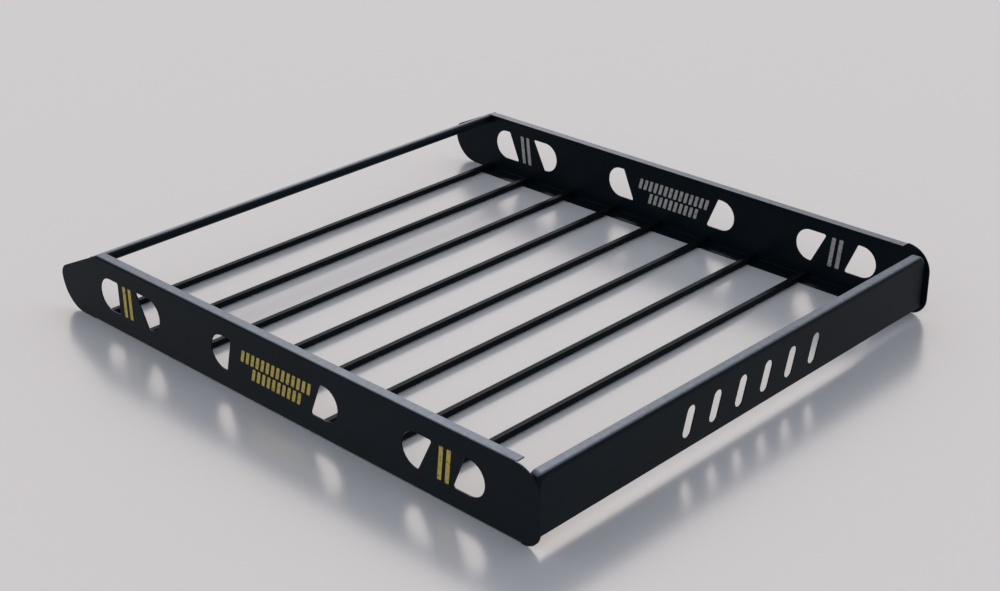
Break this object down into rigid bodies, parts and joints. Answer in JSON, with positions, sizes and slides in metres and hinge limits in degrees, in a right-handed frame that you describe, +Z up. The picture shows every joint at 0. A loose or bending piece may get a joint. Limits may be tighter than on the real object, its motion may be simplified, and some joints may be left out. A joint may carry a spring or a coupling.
{
  "type": "vehicle roof rack basket",
  "caption": "Flat black steel roof rack: folded side plates with D-shaped cut-outs, slotted front panel, round rear rail and square cross slats on inward flanges",
  "frame": {"origin": "middle of the rack's outline on the plane of the bottom flanges' undersides", "axes": "+X to the vehicle's side (right plate), -Y to the front panel, +Y to the rear rail, +Z up"},
  "size_m": [1.2, 1.4004, 0.155],
  "materials": {
    "black_coat": "satin black powder coat"
  },
  "bodies": {
    "root": {"side_plate_left": "black_coat", "side_plate_right": "black_coat", "front_panel": "black_coat", "rear_rail": "black_coat", "slat_1": "black_coat", "slat_2": "black_coat", "slat_3": "black_coat", "slat_4": "black_coat", "slat_5": "black_coat", "slat_6": "black_coat", "slat_7": "black_coat", "slat_8": "black_coat"}
  },
  "joints": []
}
